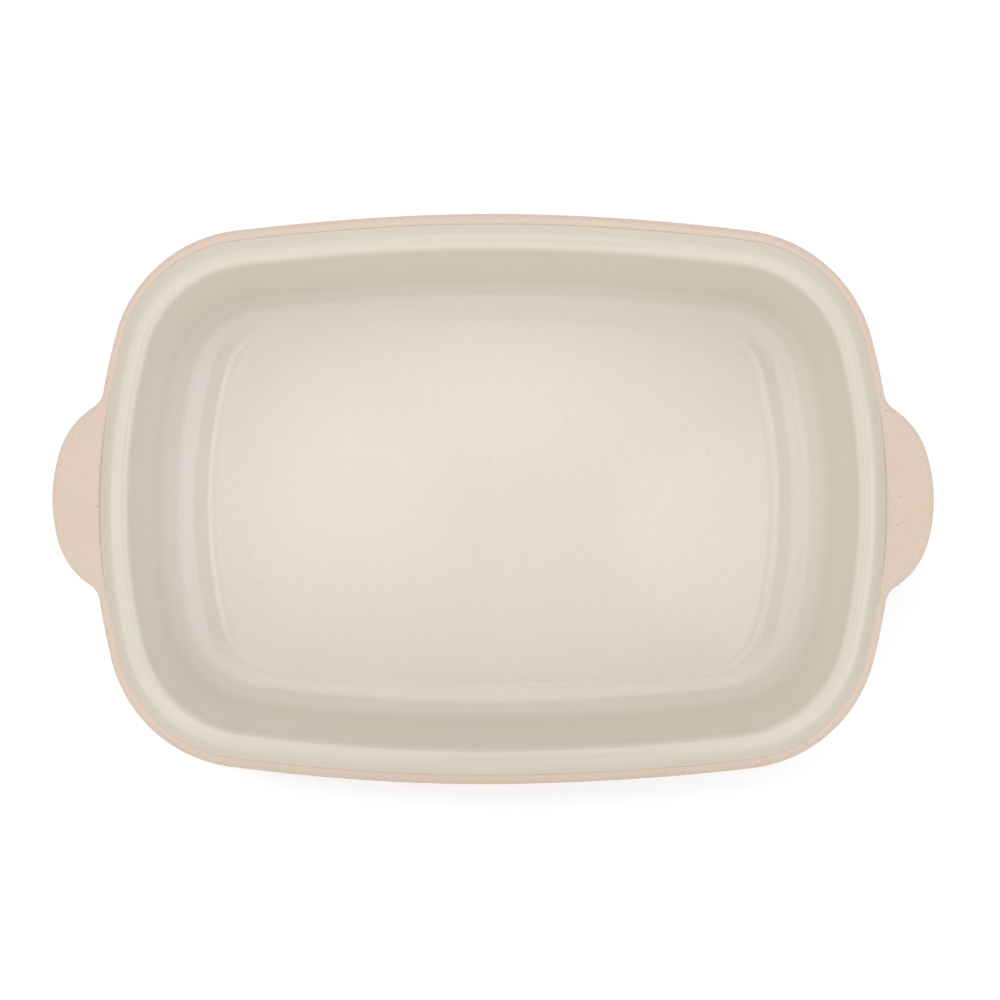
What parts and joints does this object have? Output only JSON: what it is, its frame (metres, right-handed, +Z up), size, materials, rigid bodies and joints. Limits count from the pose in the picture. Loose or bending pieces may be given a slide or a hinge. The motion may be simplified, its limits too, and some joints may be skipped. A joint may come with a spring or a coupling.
{
  "type": "roasting dish",
  "caption": "Bowed rectangular stoneware roasting dish, bare buff clay outside and cream glaze inside, with a rolled rim and flat lug handles for lifting it from the oven.",
  "frame": {"origin": "middle of the dish's plan, on the surface that its foot ring stands on", "axes": "+X along the length towards the right-hand lug, +Y across the width, +Z up out of the cavity"},
  "size_m": [0.39, 0.252, 0.065],
  "materials": {
    "clay": "bare fired stoneware, matt and finely grained, pinkish buff with small dark flecks",
    "glaze": "cream semi-gloss glaze, slightly pooled and rippled, with rare iron specks"
  },
  "bodies": {
    "root": {"dish_body": "clay", "glaze_lining": "glaze", "handle_right": "clay", "handle_left": "clay"}
  },
  "joints": []
}
